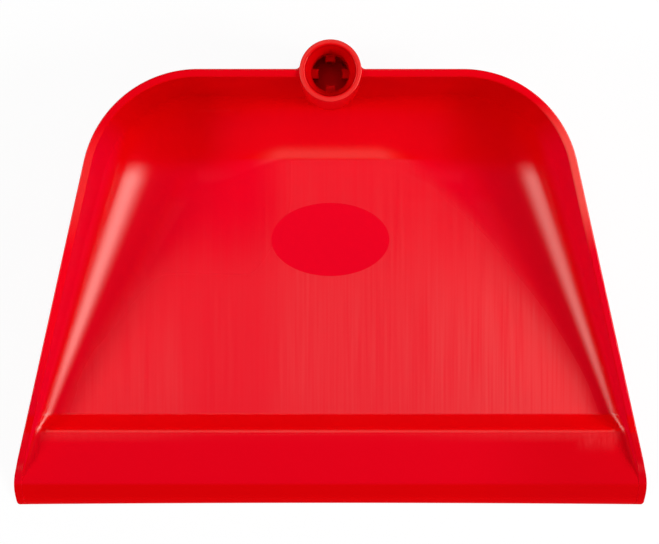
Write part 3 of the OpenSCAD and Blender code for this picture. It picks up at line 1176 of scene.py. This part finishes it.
def make_world():
    """Studio in the gloss: dim walls, a pale ceiling round the camera, a strip each side."""
    world = bpy.data.worlds.new("studio")
    bpy.context.scene.world = world
    world.use_nodes = True
    finish = Finish(world.node_tree)
    way = finish.node("ShaderNodeTexCoord", outputs="Generated")
    x, y, z = finish.node("ShaderNodeSeparateXYZ", None, {0: way}, (0, 1, 2))
    level = x * x + y * y
    lengthwise = 0.05 + (y * y / (level + LEAST_DIVISOR)).rising(0.88, 0.99) * 0.95
    hole = (level**0.5).rising(0.07, 0.13)
    ceiling = lengthwise * hole * y.rising(-0.42, -0.20) * y.falling(0.45, 0.75)
    ceiling = ceiling * abs(x).falling(0.2, 0.4) * z.rising(0.0, 0.1)
    ceiling = ceiling * (1 + y.rising(0.0, 0.05) * 0.8)
    slope = y / (abs(x) + LEAST_DIVISOR)
    strip = slope.rising(-0.66, -0.53) * slope.falling(0.50, 0.80)
    right_side = x.rising(-0.01, 0.01)
    right = z.rising(-0.35, 0.25) * 0.23 + z.rising(-0.05, 0.36) * 0.77
    right = right * z.falling(0.36, 0.69) * right_side
    left = z.rising(-0.35, 0.20) * 0.23 + z.rising(-0.10, 0.30) * 0.77
    left = left * z.falling(0.31, 0.58) * (1 - right_side)
    strips = strip * (right * RIGHT_STRIP_LIGHT + left * LEFT_STRIP_LIGHT)
    studio = WALL_LIGHT + ceiling * CEILING_LIGHT + strips
    rays = ("Is Camera Ray", "Is Transmission Ray")
    direct, passing = finish.node("ShaderNodeLightPath", outputs=rays)
    seen = direct.larger(passing)
    light = finish.node(
        "ShaderNodeBackground",
        None,
        {
            "Color": finish.blend(seen, WARM_LIGHT, PLAIN_WHITE),
            "Strength": seen + (1 - seen) * studio,
        },
    )
    finish.node("ShaderNodeOutputWorld", None, {"Surface": light})
    world.cycles_visibility.diffuse = False


LIGHT_TARGET = Vector((0.0, 0.0, 0.03))


def add_panel(name, place, width, depth, radiance):
    """Soft light panel aimed at the scoop. The gloss shows the studio in place of it."""
    lamp = bpy.data.lights.new(name, "AREA")
    lamp.shape = "RECTANGLE"
    lamp.size, lamp.size_y = width, depth
    lamp.energy = math.pi * radiance * width * depth
    panel = bpy.data.objects.new(name, lamp)
    panel.location = place
    aim = LIGHT_TARGET - Vector(place)
    panel.rotation_euler = aim.to_track_quat("-Z", "Y").to_euler()
    panel.visible_camera = False
    panel.visible_glossy = False
    lamp.cycles.use_multiple_importance_sampling = False
    bpy.context.scene.collection.objects.link(panel)


make_floor()
make_world()

# Name, place in metres, width, depth and brightness of each light panel
PANELS = (
    ("right_softbox", (0.85, -0.12, 1.23), 0.35, 0.35, 16.4),
    ("right_side_light", (1.05, -0.10, 1.05), 0.35, 0.35, 11.0),
    ("right_front_fill", (1.00, -0.50, 1.00), 0.35, 0.35, 5.0),
    ("right_rear_fill", (0.95, 0.35, 1.10), 0.35, 0.35, 4.5),
    ("right_rear_low_fill", (0.95, 0.75, 0.35), 0.5, 0.4, 4.5),
    ("right_low_fill", (1.25, -0.10, 0.25), 0.6, 0.4, 1.8),
    ("left_softbox", (-1.05, -0.10, 1.05), 0.35, 0.35, 18.0),
    ("left_front_low_fill", (-0.95, -0.75, 0.35), 0.5, 0.4, 2.9),
    ("left_rear_fill", (-0.90, 0.90, 1.00), 0.6, 0.6, 1.4),
    ("front_fill", (0.0, -1.90, 0.55), 1.4, 0.8, 1.6),
    ("overhead_fill", (0.0, 0.28, 1.80), 0.6, 0.6, 4.8),
)
for panel in PANELS:
    add_panel(*panel)

# The camera looks straight down from well above the pan
CAMERA_PLACE = (-0.0005, 0.00343, 2.0)
SENSOR_W = 36.0
LENS = 186.4
SIGHT_END = 100.0
camera_data = bpy.data.cameras.new("camera")
camera_data.sensor_width = SENSOR_W
camera_data.lens = LENS
camera_data.clip_end = SIGHT_END
camera = bpy.data.objects.new("camera", camera_data)
camera.location = CAMERA_PLACE
bpy.context.scene.collection.objects.link(camera)
bpy.context.scene.camera = camera
bpy.context.scene.view_settings.view_transform = "Standard"
